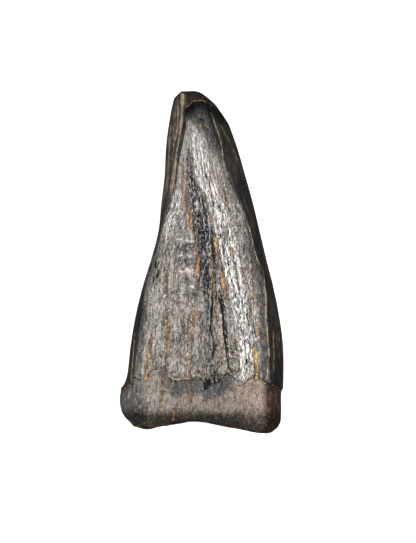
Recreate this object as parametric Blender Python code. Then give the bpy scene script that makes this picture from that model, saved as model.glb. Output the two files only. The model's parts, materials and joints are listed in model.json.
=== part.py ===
"""A fossil tyrannosaur premaxillary tooth: a D-shaped crown, a worn tip and a stump of root, in one piece.

The tooth lies on its rounded labial side with the flatter lingual face up. +Y runs along it to the tip,
+X runs across it and +Z is up. The origin is under the middle of its box, on the surface it rests on.
"""

import math

import bmesh
import bpy

# Every size below is in millimetres, and MM turns it into Blender's metres.
MM = 0.001

# Lines of the tooth as seen from above its lingual face, from the root to the tip: the place along
# the tooth, the left and right carina, how far the labial side bulges out to the left and right, and
# the top of the low median ridge.
SECTIONS = (
    (-8.8, -3.45, 3.52, -4.30, 4.28, 1.50),
    (-7.1, -3.66, 3.64, -4.44, 4.30, 1.60),
    (-6.5, -3.65, 3.60, -4.06, 4.32, 1.60),
    (-5.9, -3.62, 3.57, -3.92, 4.33, 1.55),
    (-4.5, -3.43, 3.51, -3.76, 4.28, 1.40),
    (-3.0, -3.20, 3.44, -3.50, 4.08, 1.20),
    (-1.5, -3.02, 3.32, -3.14, 3.78, 0.83),
    (0.0, -2.64, 2.90, -2.68, 3.40, 0.42),
    (1.5, -2.18, 2.56, -2.28, 3.04, 0.12),
    (3.0, -1.70, 2.04, -2.14, 2.69, -0.14),
    (4.5, -1.38, 1.46, -1.97, 2.27, -0.38),
    (6.0, -1.17, 1.04, -1.90, 1.84, -0.52),
    (7.5, -0.92, 0.62, -1.70, 1.30, -0.50),
    (8.3, -0.86, 0.42, -1.54, 0.98, -0.45),
    (8.65, -0.82, 0.36, -1.40, 0.86, -0.42),
    (8.95, -0.72, 0.28, -0.98, 0.74, -0.36),
)

# The labial keel, seen from the side: it touches the surface at REST_AT and curves up both ways.
REST_AT = -2.4
KEEL_CURVE_TO_TIP = 0.0334
KEEL_CURVE_TO_ROOT = 0.012
FLAT_SPOT_DEPTH = 0.08
WIDEST_SHARE = 0.56
LABIAL_SQUARENESS = 0.62

# The lingual face: the height of its two carinae, and a median ridge that leans across it.
LEFT_CARINA_HEIGHT = 5.3
RIGHT_CARINA_HEIGHT = 5.6
CARINA_CURVE = 0.004
CARINA_MIDDLE = 1.0
CARINA_LIP = 0.05
RIDGE_HEIGHT = 6.12
RIDGE_CREST = 0.2
RIDGE_FADE_FROM = 5.0
RIDGE_FADE_TO = 9.5
RIDGE_LEAST = 0.35

# Each flank falls from the ridge and eases out towards its carina, and the right one rolls over its edge.
LEFT_EASES_FROM = 0.8
RIGHT_EASES_FROM = 0.22
FLANK_EASE = 0.9
ROLL_DEPTH = 0.24
ROLL_FROM = 0.7
ROLL_STARTS = 0.0
ROLL_FULL = 3.0

# The face bends down to the worn tip.
TIP_BEND_FROM = 6.0
TIP_BEND_DEPTH = 0.42

# The worn tip: how high it reaches, how it slopes away to the right, and how its facet slopes to the face.
TIP_REACH = 8.94
TIP_SLOPE = 0.9
TIP_SLOPE_START = -0.1
TIP_SOFTNESS = 0.2
FACET_SLOPE = 0.3
FACET_FOOT_HEIGHT = 4.3
FACET_FROM = -1.5
FACET_FULL = -0.6
FACET_FADES_FROM = -0.1
FACET_FADES_TO = 0.9
FACET_LEAST = 0.25
FACET_DOME = 0.05

# The root's broken end: an arched edge with round corners, and a shallow hollow inside it.
ROOT_END = -8.64
ROOT_ARCH_TOP = -0.6
ROOT_ARCH_LEFT = (0.34, 2.2)
ROOT_ARCH_RIGHT = (0.56, 2.8)
CORNER_LEFT = 1.25
CORNER_RIGHT = 0.72
HOLLOW_DEPTH = 1.1

# The enamel's jagged lower edge across the lingual face, as (across, along), and round the labial side.
ENAMEL_EDGE = (
    (-4.4, -6.7),
    (-3.95, -6.52),
    (-3.54, -6.18),
    (-3.09, -6.40),
    (-2.74, -5.89),
    (-2.26, -5.60),
    (-1.87, -5.70),
    (-1.63, -6.20),
    (0.01, -6.22),
    (0.21, -6.60),
    (0.70, -6.31),
    (1.39, -5.89),
    (1.81, -6.40),
    (2.18, -6.43),
    (2.76, -6.02),
    (3.39, -6.47),
    (3.97, -6.65),
    (4.4, -7.1),
)
LABIAL_EDGE = -6.75
LABIAL_EDGE_WAVE = 0.16
LABIAL_EDGE_WAVES = 2.3
EDGE_TURNS_FROM = 3.4
EDGE_TURNS_TO = 5.2
ENAMEL_THICKNESS = 0.09
LEDGE_ROWS = (-0.3, -0.14, -0.05, 0.05, 0.14, 0.3)

# Shallow flutes along the labial side: how many from the keel to the widest place, and how deep.
FLUTES = 3
FLUTE_DEPTH = 0.03

# Grid of the solid: steps across the face, from a carina to the widest place, under the keel, and along.
LEFT_FACE_STEPS = 22
RIGHT_FACE_STEPS = 14
SHOULDER_STEPS = 6
BELLY_STEPS = 15
ROOT_ROWS = 3
CROWN_ROWS = 43
ROUNDING_RINGS = 4
HOLLOW_RINGS = (0.84, 0.62, 0.38, 0.16)
FLANK_SUMS = 40
FACET_RINGS = (0.84, 0.56, 0.28)
SETTLING_PASSES = 30

ENAMEL_COLOUR = (0.06, 0.055, 0.05, 1.0)


def smoothstep(share):
    """0 below 0, 1 above 1, and a smooth rise between."""
    share = min(1.0, max(0.0, share))
    return share * share * (3.0 - 2.0 * share)


def slope_at(column, i):
    """The slope of one column of SECTIONS at row i, from the rows on both sides of it."""
    before, after = SECTIONS[max(0, i - 1)], SECTIONS[min(len(SECTIONS) - 1, i + 1)]
    return (after[column] - before[column]) / (after[0] - before[0])


def outline(column, y):
    """One column of SECTIONS at any place y, on a smooth curve through its rows."""
    y = min(SECTIONS[-1][0], max(SECTIONS[0][0], y))
    i = max(k for k in range(len(SECTIONS) - 1) if SECTIONS[k][0] <= y)
    span = SECTIONS[i + 1][0] - SECTIONS[i][0]
    t = (y - SECTIONS[i][0]) / span
    start, end = SECTIONS[i][column], SECTIONS[i + 1][column]
    start_slope, end_slope = slope_at(column, i) * span, slope_at(column, i + 1) * span
    return (
        start * (2 * t**3 - 3 * t**2 + 1)
        + start_slope * (t**3 - 2 * t**2 + t)
        + end * (3 * t**2 - 2 * t**3)
        + end_slope * (t**3 - t**2)
    )


def keel_height(y):
    """Height of the labial keel, which dips just under the surface where it rests."""
    curve = KEEL_CURVE_TO_TIP if y > REST_AT else KEEL_CURVE_TO_ROOT
    return curve * (y - REST_AT) ** 2 - FLAT_SPOT_DEPTH


def carina_height(y, side):
    """Height of a carina, which bends down with the face near the tip."""
    level = LEFT_CARINA_HEIGHT if side < 0 else RIGHT_CARINA_HEIGHT
    bend = max(0.0, y - TIP_BEND_FROM) / (TIP_REACH - TIP_BEND_FROM)
    return level + CARINA_CURVE * (y - CARINA_MIDDLE) ** 2 - TIP_BEND_DEPTH * bend**2


def flank_fall(share, eases_from):
    """How much of a flank's whole fall lies above one share of the way from the ridge to the carina."""
    fallen, whole = 0.0, 0.0
    for i in range(FLANK_SUMS):
        t = (i + 0.5) / FLANK_SUMS
        eased = smoothstep((t - eases_from) / (1.0 - eases_from))
        slope = smoothstep(t / RIDGE_CREST) * (1.0 - FLANK_EASE * eased)
        whole += slope
        fallen += slope * min(1.0, max(0.0, share * FLANK_SUMS - i))
    return fallen / whole


def bezier(points, t):
    """The point at share t of a cubic Bezier curve."""
    weights = ((1 - t) ** 3, 3 * t * (1 - t) ** 2, 3 * t * t * (1 - t), t**3)
    return tuple(sum(w * p[axis] for w, p in zip(weights, points)) for axis in range(2))


def face_point(y, side, share):
    """(x, z) on the lingual face at place y, from the ridge at share 0 to the carina on that side at 1."""
    ridge_x, edge = outline(5, y), outline(1 if side < 0 else 2, y)
    foot = carina_height(y, side)
    middle = (carina_height(y, -1) + carina_height(y, 1)) / 2
    fade = smoothstep((abs(y) - RIDGE_FADE_FROM) / (RIDGE_FADE_TO - RIDGE_FADE_FROM))
    rise = RIDGE_HEIGHT - (LEFT_CARINA_HEIGHT + RIGHT_CARINA_HEIGHT) / 2
    top = middle + rise * (1.0 - (1.0 - RIDGE_LEAST) * fade)
    fall = flank_fall(share, LEFT_EASES_FROM if side < 0 else RIGHT_EASES_FROM)
    z = top - (top - foot) * fall + (CARINA_LIP if share == 1.0 else 0.0)
    if side > 0:
        rolled = smoothstep((y - ROLL_STARTS) / (ROLL_FULL - ROLL_STARTS))
        z += ROLL_DEPTH * rolled * (1.0 - smoothstep((share - ROLL_FROM) / (1.0 - ROLL_FROM)))
    return ridge_x + (edge - ridge_x) * share, z


def labial_point(y, side, share, under):
    """(x, z) on the labial wall at place y: its shoulder beside a carina, or its belly down to the keel."""
    carina, widest = outline(1 if side < 0 else 2, y), outline(3 if side < 0 else 4, y)
    keel_x = (outline(3, y) + outline(4, y)) / 2
    keel, top = keel_height(y), carina_height(y, side)
    middle = keel + WIDEST_SHARE * (top - keel)
    if under:
        arc = (
            (widest, middle),
            (widest, middle - LABIAL_SQUARENESS * (middle - keel)),
            (keel_x + LABIAL_SQUARENESS * (widest - keel_x), keel),
            (keel_x, keel),
        )
    else:
        arc = (
            (carina, top + CARINA_LIP),
            (carina + 0.55 * (widest - carina), top - 0.2 * (top - middle)),
            (widest, middle + 0.55 * (top - middle)),
            (widest, middle),
        )
    return bezier(arc, share)


def stations_round():
    """What to draw at each step round a section, once round from the left carina over the face."""
    steps = [("face", -1, i / LEFT_FACE_STEPS) for i in range(LEFT_FACE_STEPS, 0, -1)]
    steps += [("face", 1, i / RIGHT_FACE_STEPS) for i in range(RIGHT_FACE_STEPS + 1)]
    steps += [("shoulder", 1, i / SHOULDER_STEPS) for i in range(1, SHOULDER_STEPS + 1)]
    steps += [("belly", 1, i / BELLY_STEPS) for i in range(1, BELLY_STEPS + 1)]
    steps += [("belly", -1, i / BELLY_STEPS) for i in range(BELLY_STEPS - 1, -1, -1)]
    steps += [("shoulder", -1, i / SHOULDER_STEPS) for i in range(SHOULDER_STEPS - 1, 0, -1)]
    return steps


def wall_point(y, step):
    kind, side, share = step
    if kind == "face":
        return face_point(y, side, share)
    return labial_point(y, side, share, kind == "belly")


def above(value, softness):
    """The value where it is above 0, and 0 where it is below, with a soft bend between."""
    return (value + math.hypot(value, softness)) / 2


def tip_limit(x, z):
    """How far along the tooth its worn tip reaches above one spot of its section."""
    sloped = TIP_SLOPE * above(x - TIP_SLOPE_START, TIP_SOFTNESS)
    begun = smoothstep((x - FACET_FROM) / (FACET_FULL - FACET_FROM))
    faded = smoothstep((x - FACET_FADES_FROM) / (FACET_FADES_TO - FACET_FADES_FROM))
    strength = begun * (1.0 - (1.0 - FACET_LEAST) * faded)
    return TIP_REACH - sloped - FACET_SLOPE * strength * above(z - FACET_FOOT_HEIGHT, TIP_SOFTNESS)


def root_limit(x):
    """How far back the root's broken end reaches: its edge is arched between two lower corners."""
    across = x - ROOT_ARCH_TOP
    drop, width = ROOT_ARCH_LEFT if across < 0 else ROOT_ARCH_RIGHT
    return ROOT_END - drop * (1.0 - math.exp(-((across / width) ** 2)))


def corner_radius(x):
    """The root's corner is rounder on the left than on the right."""
    share = smoothstep((x + 4.0) / 8.0)
    return CORNER_LEFT + (CORNER_RIGHT - CORNER_LEFT) * share


def settled(step, start, limit):
    """Where one line along the wall ends: the limit depends on the spot, and the spot on the limit."""
    y = start
    for _ in range(SETTLING_PASSES):
        x, z = wall_point(y, step)
        y = (y + limit(x, z)) / 2
    return y


def wall_start(x, _):
    return root_limit(x) + corner_radius(x)


def between(rows, x):
    """The height of a jagged line through rows of (across, along) at x."""
    x = min(rows[-1][0], max(rows[0][0], x))
    i = max(k for k in range(len(rows) - 1) if rows[k][0] <= x)
    (x0, y0), (x1, y1) = rows[i], rows[i + 1]
    return y0 + (y1 - y0) * (x - x0) / (x1 - x0)


def enamel_limit(x, z):
    """Where the enamel ends, along the tooth, at one spot of its section."""
    labial = LABIAL_EDGE + LABIAL_EDGE_WAVE * math.cos(LABIAL_EDGE_WAVES * x)
    facing = smoothstep((z - EDGE_TURNS_FROM) / (EDGE_TURNS_TO - EDGE_TURNS_FROM))
    return labial + (between(ENAMEL_EDGE, x) - labial) * facing


def wall_line(step):
    """The points of one line along the wall, from the root's corner over the enamel's edge to the tip."""
    start = settled(step, ROOT_END, wall_start)
    edge = settled(step, LABIAL_EDGE, enamel_limit)
    end = settled(step, TIP_REACH, tip_limit)
    foot, neck = edge + LEDGE_ROWS[0], edge + LEDGE_ROWS[-1]
    places = [start + (foot - start) * row / ROOT_ROWS for row in range(ROOT_ROWS)]
    places += [edge + offset for offset in LEDGE_ROWS]
    level = LABIAL_EDGE + LEDGE_ROWS[-1]
    for row in range(1, CROWN_ROWS + 1):
        share = row / CROWN_ROWS
        plain = level + (TIP_REACH - level) * share
        places.append(plain + (neck - level) * (1.0 - share) ** 4 + (end - TIP_REACH) * share**3)
    points = []
    for y in places:
        x, z = wall_point(y, step)
        points.append((x, y, z))
    return points


def middle_of(ring):
    """The middle of the ring's box."""
    return tuple((min(p[axis] for p in ring) + max(p[axis] for p in ring)) / 2 for axis in range(3))


def drawn_in(ring, inset):
    """The ring moved inset millimetres towards its own middle, across the tooth."""
    cx, _, cz = middle_of(ring)
    moved = []
    for x, y, z in ring:
        radius = math.hypot(x - cx, z - cz)
        keep = 1.0 - inset(x) / radius
        moved.append((cx + (x - cx) * keep, y, cz + (z - cz) * keep))
    return moved


def softened(ring, passes):
    """The ring with its corners eased across the tooth, a little more with each pass."""
    for _ in range(passes):
        eased = []
        for before, (x, y, z), after in zip(ring[-1:] + ring[:-1], ring, ring[1:] + ring[:1]):
            eased.append(((before[0] + 2 * x + after[0]) / 4, y, (before[2] + 2 * z + after[2]) / 4))
        ring = eased
    return ring


def rounded_rings(first):
    """Rings from the wall's foot round the corner of the root's broken end."""
    rings = []
    for i in range(1, ROUNDING_RINGS + 1):
        turn = math.radians(90.0 * i / ROUNDING_RINGS)
        drawn = drawn_in(first, lambda x: corner_radius(x) * (1.0 - math.cos(turn)))
        ring = []
        for (x, y, z), start in zip(softened(drawn, i), first):
            ring.append((x, y - corner_radius(start[0]) * math.sin(turn), z))
        rings.append(ring)
    return rings


def hollow_rings(edge):
    """Rings that sink into the broken end, and turn from its D shape into an oval."""
    cx, cy, cz = middle_of(edge)
    half_width = max(p[0] for p in edge) - cx
    half_height = max(p[2] for p in edge) - cz
    rings = []
    for keep in HOLLOW_RINGS:
        oval = smoothstep((1.0 - keep) * 2.0)
        depth = HOLLOW_DEPTH * smoothstep((1.0 - keep) * 1.25)
        ring = []
        for x, y, z in edge:
            even = 1.0 / math.hypot((x - cx) / half_width, (z - cz) / half_height)
            scale = keep * (1.0 + (even - 1.0) * oval)
            ring.append((cx + (x - cx) * scale, cy + (y - cy) * keep + depth, cz + (z - cz) * scale))
        rings.append(ring)
    return rings


def facet_rings(last):
    """Rings that close the worn tip over its slightly domed facet."""
    cx, _, cz = middle_of(last)
    rings = []
    for keep in FACET_RINGS:
        ring = []
        for edge_x, edge_y, edge_z in last:
            x, z = cx + (edge_x - cx) * keep, cz + (edge_z - cz) * keep
            ring.append((x, tip_limit(x, z) + FACET_DOME * (1.0 - keep), z))
        rings.append(ring)
    return rings


def flute_place(step):
    """Where a line lies round the labial side: 0 at the keel, 1 at the widest place, and more above it."""
    kind, _, share = step
    return 1.0 - share if kind == "belly" else 1.0 + (1.0 - share) * 0.45


def relief(step, row):
    """How far a spot of the wall stands out from the smooth form, in millimetres, row by row from its foot."""
    neck = ROOT_ROWS + len(LEDGE_ROWS) // 2
    if row < neck:
        return -ENAMEL_THICKNESS
    if step[0] == "face":
        return 0.0
    along = (row - neck) / CROWN_ROWS
    fade = smoothstep(along * 5.0) * smoothstep((1.0 - along) * 2.0)
    return FLUTE_DEPTH * fade * math.cos(2 * math.pi * FLUTES * flute_place(step))


def add_relief(mesh, steps, rounded, wall):
    """Moves the points of the root's corner and of the wall along their normals by the relief of each."""
    mesh.normal_update()
    moves = []
    for row, ring in enumerate(rounded + wall, -len(rounded)):
        for vertex, step in zip(ring, steps):
            moves.append((vertex, vertex.normal * relief(step, row) * MM))
    for vertex, move in moves:
        vertex.co += move


def add_quads(mesh, ring, following):
    count = len(ring)
    for i in range(count):
        j = (i + 1) % count
        mesh.faces.new((ring[i], ring[j], following[j], following[i]))


def close_end(mesh, ring, outwards):
    """A fan from a point in the middle of the last ring."""
    middle = sum((v.co for v in ring), ring[0].co * 0) / len(ring)
    centre = mesh.verts.new(middle)
    for i, vertex in enumerate(ring):
        after = ring[(i + 1) % len(ring)]
        mesh.faces.new((vertex, after, centre) if outwards else (after, vertex, centre))


def centre_on_footprint(mesh):
    """Puts the origin under the middle of the box, and flattens the keel where it rests."""
    for axis in (0, 1):
        low = min(v.co[axis] for v in mesh.verts)
        high = max(v.co[axis] for v in mesh.verts)
        for vertex in mesh.verts:
            vertex.co[axis] -= (low + high) / 2
    for vertex in mesh.verts:
        vertex.co.z = max(0.0, vertex.co.z)


def enamel_material():
    material = bpy.data.materials.new("fossil_enamel")
    material.use_nodes = True
    shader = material.node_tree.nodes["Principled BSDF"]
    shader.inputs["Base Color"].default_value = ENAMEL_COLOUR
    shader.inputs["Roughness"].default_value = 0.35
    shader.inputs["Metallic"].default_value = 0.0
    return material


def make_tooth(collection):
    """The tooth: a loft between unlike D-shaped sections, closed by its worn tip and its root's end."""
    steps = stations_round()
    lines = [wall_line(step) for step in steps]
    wall = [list(ring) for ring in zip(*lines)]
    rounded = rounded_rings(wall[0])
    end = hollow_rings(rounded[-1])
    rings = end[::-1] + rounded[::-1] + wall + facet_rings(wall[-1])
    mesh = bmesh.new()
    made = [[mesh.verts.new([c * MM for c in point]) for point in ring] for ring in rings]
    for ring, following in zip(made, made[1:]):
        add_quads(mesh, ring, following)
    close_end(mesh, made[0], False)
    close_end(mesh, made[-1], True)
    corner, foot = len(end), len(end) + len(rounded)
    add_relief(mesh, steps, made[corner:foot], made[foot : foot + len(wall)])
    centre_on_footprint(mesh)
    data = bpy.data.meshes.new("tooth")
    mesh.to_mesh(data)
    mesh.free()
    data.shade_smooth()
    data.set_sharp_from_angle(angle=math.radians(50))
    data.materials.append(enamel_material())
    tooth = bpy.data.objects.new("tooth", data)
    collection.objects.link(tooth)
    return tooth


def main():
    for obj in list(bpy.data.objects):
        bpy.data.objects.remove(obj)
    collection = bpy.data.collections.new("premaxillary_tooth")
    bpy.context.scene.collection.children.link(collection)
    make_tooth(collection)


main()
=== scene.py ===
import json
import math

import bpy
import numpy as np
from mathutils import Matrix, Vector, noise

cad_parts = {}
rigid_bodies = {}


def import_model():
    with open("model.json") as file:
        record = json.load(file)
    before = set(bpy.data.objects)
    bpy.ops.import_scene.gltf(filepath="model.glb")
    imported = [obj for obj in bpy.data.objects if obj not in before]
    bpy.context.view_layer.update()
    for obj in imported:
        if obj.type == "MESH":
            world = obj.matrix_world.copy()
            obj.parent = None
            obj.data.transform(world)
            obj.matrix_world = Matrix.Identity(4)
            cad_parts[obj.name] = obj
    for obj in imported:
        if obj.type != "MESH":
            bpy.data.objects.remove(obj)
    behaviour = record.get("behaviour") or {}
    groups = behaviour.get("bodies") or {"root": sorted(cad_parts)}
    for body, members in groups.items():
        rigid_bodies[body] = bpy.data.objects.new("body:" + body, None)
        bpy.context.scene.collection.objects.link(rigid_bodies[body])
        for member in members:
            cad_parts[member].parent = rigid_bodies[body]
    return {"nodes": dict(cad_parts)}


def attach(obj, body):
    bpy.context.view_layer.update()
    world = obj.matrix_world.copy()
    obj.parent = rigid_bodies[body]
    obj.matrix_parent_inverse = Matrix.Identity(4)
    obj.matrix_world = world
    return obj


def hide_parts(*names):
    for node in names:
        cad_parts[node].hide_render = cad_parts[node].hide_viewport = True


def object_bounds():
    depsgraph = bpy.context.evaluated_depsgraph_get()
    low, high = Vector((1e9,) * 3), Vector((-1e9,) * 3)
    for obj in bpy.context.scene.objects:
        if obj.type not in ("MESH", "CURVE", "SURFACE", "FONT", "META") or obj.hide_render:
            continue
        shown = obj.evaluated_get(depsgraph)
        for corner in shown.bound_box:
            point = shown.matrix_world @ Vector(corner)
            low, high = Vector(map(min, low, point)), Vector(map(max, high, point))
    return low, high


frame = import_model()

# A small fossil tooth with dark, finely cracked enamel, lying on a pale floor with its flatter face up.
# Its tip points along +Y and the flatter face along +Z. Relief is worked out in millimetres.
MM = 0.001
CAD_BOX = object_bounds()

# The photograph's frame is 416 x 543 pixels, and the tooth's 18 mm take 341 of them.
FRAME_HEIGHT_MM = 543 * 18.0 / 341
CAMERA_HEIGHT_MM = 300.0
FACE_HEIGHT_MM = 4.5
CAMERA_PLACE_MM = (0.33, -0.55)
SENSOR_MM = 36.0
CLIP_START, CLIP_END = 0.01, 10.0

# The soft lamps, as (name, angle to the right, angle to the tip, distance, width, height, radiance), with the
# distances in metres, and the glow of the studio around them.
LAMPS = (
    ("left_softbox", -38, 0, 0.30, 0.20, 0.40, 4.0),
    ("right_softbox", 33, 4, 0.30, 0.16, 0.34, 6.0),
)
STUDIO_GLOW = 0.07

# The pale floor lies a hair below the tooth.
FLOOR_SIZE = 3.0
FLOOR_GAP = 0.00001
FLOOR_WHITE = (0.95, 0.95, 0.95, 1.0)
FLOOR_ROUGHNESS = 0.9
FLOOR_GLOW = 0.55

# The copy of the solid gets finer steps before its relief, and edges sharper than the angle keep an edge.
SUBDIVISIONS = 2
SHARP_EDGE = math.radians(32)
EDGE_CREASE = 0.55
MERGE_DISTANCE = 1e-6

# How high or deep the finer forms are, in millimetres.
WRINKLES = 0.012
FINE_WRINKLES = 0.005
SWELLS = 0.012
ROOT_PITS = 0.014
ROOT_WRINKLES = 0.008
GROWTH_RISE = 0.012
GROWTH_DIP = 0.02
BREAK_LUMPS = 0.05
BREAK_PITS = 0.03

# The enamel's broken edge: how jagged it is, its raised lip and the dip below it, and how far both reach.
EDGE_JAG = 0.13
LIP_RISE = 0.015
LIP_REACH = 0.16
FOOT_DIP = 0.03
FOOT_REACH = 0.14

# Distances for points that are near no line, and the softness of a crack's edge.
OUT_OF_REACH = 9.0
FAR_AWAY = 99.0
GROOVE_EDGE = 0.02

# Wrinkles run closer together where the face narrows, down to its narrowest.
WIDE_FACE = 6.5
NARROW_FACE = 1.2
NARROWING = 0.75

# The enamel's broken lower edge across the flatter face, as (across, along) in millimetres, and where it lies
# and how it waves round the labial side.
ENAMEL_EDGE = (
    (-4.37, -7.05), (-3.95, -6.52), (-3.66, -6.40), (-3.54, -6.18), (-3.25, -6.27), (-3.09, -6.40),
    (-2.93, -6.18), (-2.74, -5.89), (-2.42, -5.63), (-2.10, -5.58), (-1.87, -5.70), (-1.71, -6.15),
    (-1.39, -6.34), (-0.89, -6.24), (-0.37, -6.18), (0.01, -6.20), (0.21, -6.65), (0.46, -6.40),
    (0.91, -6.27), (1.39, -5.89), (1.62, -6.01), (1.81, -6.40), (2.00, -6.49), (2.19, -6.43),
    (2.38, -6.27), (2.64, -6.11), (2.83, -6.05), (3.08, -6.20), (3.28, -6.40), (3.53, -6.49),
    (3.76, -6.48), (3.98, -6.65), (4.11, -6.91), (4.23, -7.10),
)
LABIAL_EDGE = -6.75
LABIAL_EDGE_WAVE = 0.16
LABIAL_EDGE_WAVES = 2.3

# How strongly the dullest and the most polished enamel reflect.
DULL_SHINE = 0.12
FULL_SHINE = 1.0
FULL_INDEX = 1.65

# The two carinae, as (across, along) from the tip end to the root end.
LEFT_CARINA = (
    (-0.86, 9.2), (-0.88, 8.5), (-0.88, 7.0), (-1.19, 5.5), (-1.36, 4.0), (-1.68, 2.9), (-2.18, 1.5),
    (-2.62, 0.0), (-3.02, -1.5), (-3.20, -3.0), (-3.43, -4.5), (-3.62, -6.0), (-3.66, -9.2),
)
RIGHT_CARINA = (
    (0.05, 9.2), (0.17, 8.5), (0.59, 7.0), (1.04, 5.8), (1.41, 4.3), (2.04, 3.0), (2.57, 1.5),
    (2.89, 0.0), (3.35, -1.5), (3.44, -3.0), (3.51, -4.5), (3.57, -6.0), (3.60, -9.2),
)

# The lower edge of the worn tip, where it meets the flatter face. Points left of it count as far below it.
LEFT_END_OF_WORN_EDGE = -0.86
FAR_BELOW_WORN_EDGE = -2.5
WORN_EDGE = (
    (-1.0, 8.02), (-0.70, 8.16), (-0.54, 8.32), (-0.44, 8.40), (-0.26, 8.40), (-0.15, 8.44), (0.02, 8.44),
    (0.43, 8.26), (0.70, 8.10), (1.0, 7.8),
)

# The right corner of the worn tip is rounded off, along the given way.
WORN_CORNER = (1.20, 7.85)
WORN_CORNER_REACH = 0.75
WORN_CORNER_DEPTH = 0.13
WORN_CORNER_WAY = (0.62, 0.78, 0.0)

# The root's two lower corners bulge a little past the rest of the broken end, as (place, reach, bulge).
ROOT_CORNERS = (((-2.95, -8.8), 1.0, 0.14), ((3.15, -8.9), 1.4, 0.12))

# How far past the solid's box, across and along, the finer forms may reach.
BOX_MARGIN = 0.15

# The dark band down the middle of the face, painted as the dark reflection on the ridge's crest, its faint
# start near the tip, the line that splits off from it and its foot above the enamel's edge, as (across,
# along, half width).
DARK_REFLECTION_BAND = (
    (-0.62, 4.4, 0.10), (-0.45, 3.9, 0.26), (-0.18, 3.28, 0.44), (0.0, 2.08, 0.52), (0.16, 1.10, 0.50),
    (0.26, 0.14, 0.50), (0.30, -0.95, 0.46), (0.40, -1.92, 0.26), (0.50, -2.6, 0.04),
)
DARK_START = ((-0.70, 5.9, 0.06), (-0.66, 5.3, 0.16), (-0.60, 4.4, 0.24), (-0.40, 3.6, 0.3))
DARK_SPLIT = (
    (0.92, -1.5, 0.05), (1.06, -2.2, 0.12), (1.15, -2.9, 0.13), (1.24, -3.8, 0.10), (1.34, -4.6, 0.08),
    (1.40, -5.5, 0.06),
)
DARK_REFLECTION_FOOT = ((0.42, -1.7, 0.30), (0.45, -2.7, 0.34), (0.42, -3.8, 0.5), (0.50, -4.8, 0.7), (0.50, -6.3, 0.85))

# The painted highlight stripe to the right of the band and the painted sheen on the face to its upper left.
PAINTED_HIGHLIGHT_STRIPE = (
    (-0.66, 7.3, 0.12), (-0.50, 6.6, 0.40), (-0.34, 5.8, 0.50), (-0.08, 4.9, 0.50), (0.15, 4.2, 0.46),
    (0.52, 3.28, 0.44), (1.0, 2.08, 0.46), (1.30, 0.87, 0.44), (1.63, -0.59, 0.42), (1.98, -2.04, 0.38),
    (2.22, -3.50, 0.38), (2.34, -4.95, 0.36), (2.32, -6.1, 0.32),
)
PAINTED_FLANK_SHEEN = (
    (-0.95, 6.4, 0.10), (-1.02, 5.4, 0.18), (-1.10, 4.6, 0.24), (-1.30, 3.6, 0.34), (-1.50, 2.6, 0.40),
    (-1.75, 1.7, 0.22), (-1.9, 1.2, 0.06),
)

# Pale growth lines across the middle of the face, then the dark rows between them and three dark patches
# lower down, as (across, along, half width).
GROWTH_LINES = (
    ((-1.25, 1.16, 0.03), (-0.95, 1.08, 0.05), (-0.60, 1.02, 0.08), (-0.30, 1.10, 0.05)),
    ((-1.15, 0.34, 0.04), (-0.60, 0.28, 0.07), (-0.28, 0.36, 0.05)),
    ((-1.20, -0.50, 0.08), (-0.75, -0.45, 0.13), (-0.30, -0.58, 0.09)),
    ((-1.00, -1.28, 0.04), (-0.70, -1.32, 0.07), (-0.35, -1.42, 0.07)),
)
GROWTH_SHADES = (
    ((-1.20, 0.72, 0.10), (-0.85, 0.70, 0.22), (-0.50, 0.70, 0.24), (-0.28, 0.74, 0.18)),
    ((-1.20, -0.02, 0.08), (-0.80, -0.05, 0.18), (-0.50, -0.03, 0.2), (-0.28, 0.0, 0.16)),
    ((-1.10, -0.98, 0.08), (-0.70, -1.00, 0.16), (-0.34, -0.98, 0.18)),
    ((-0.85, -1.75, 0.08), (-0.40, -1.80, 0.14)),
    ((0.10, -4.5, 0.08), (0.38, -4.85, 0.20), (0.62, -5.2, 0.18), (0.60, -5.8, 0.08)),
    ((1.50, -4.4, 0.06), (1.60, -4.9, 0.15), (1.70, -5.4, 0.16), (1.66, -5.7, 0.10)),
    ((0.72, -1.9, 0.05), (0.74, -2.5, 0.08), (0.74, -3.1, 0.04)),
)

# Tan and brown stains between the wrinkles, and a chip that shows greyer mineral.
TAN_STAINS = (
    ((-1.00, 5.6, 0.06), (-1.00, 4.6, 0.11), (-0.95, 3.6, 0.13), (-0.86, 2.8, 0.10), (-0.80, 2.3, 0.05)),
    ((0.25, 5.2, 0.04), (0.34, 4.4, 0.08), (0.46, 3.7, 0.10), (0.66, 3.0, 0.07)),
    ((1.30, 3.4, 0.05), (1.42, 2.7, 0.08), (1.55, 2.0, 0.06)),
    ((0.72, -2.6, 0.08), (0.88, -3.3, 0.20), (1.02, -4.2, 0.20), (1.10, -5.0, 0.20), (1.16, -5.8, 0.16)),
    ((-0.45, -2.4, 0.10), (-0.35, -2.9, 0.16), (-0.42, -3.5, 0.14)),
    ((0.42, -0.2, 0.05), (0.58, -0.9, 0.07), (0.66, -1.8, 0.07), (0.70, -2.5, 0.08)),
    ((-1.92, -1.0, 0.05), (-1.86, -2.4, 0.10), (-1.80, -3.6, 0.10), (-1.90, -5.0, 0.08)),
    ((-0.60, -4.8, 0.12), (-0.62, -5.9, 0.14)),
    ((2.55, 0.2, 0.05), (2.66, -1.4, 0.10), (2.86, -3.2, 0.12), (2.95, -4.3, 0.10)),
    ((1.50, -0.1, 0.04), (1.75, -0.9, 0.06), (1.90, -1.6, 0.05)),
)
GREY_CHIP = ((-0.12, -3.15, 0.16), (0.02, -3.40, 0.22), (0.12, -3.70, 0.16))
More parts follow.
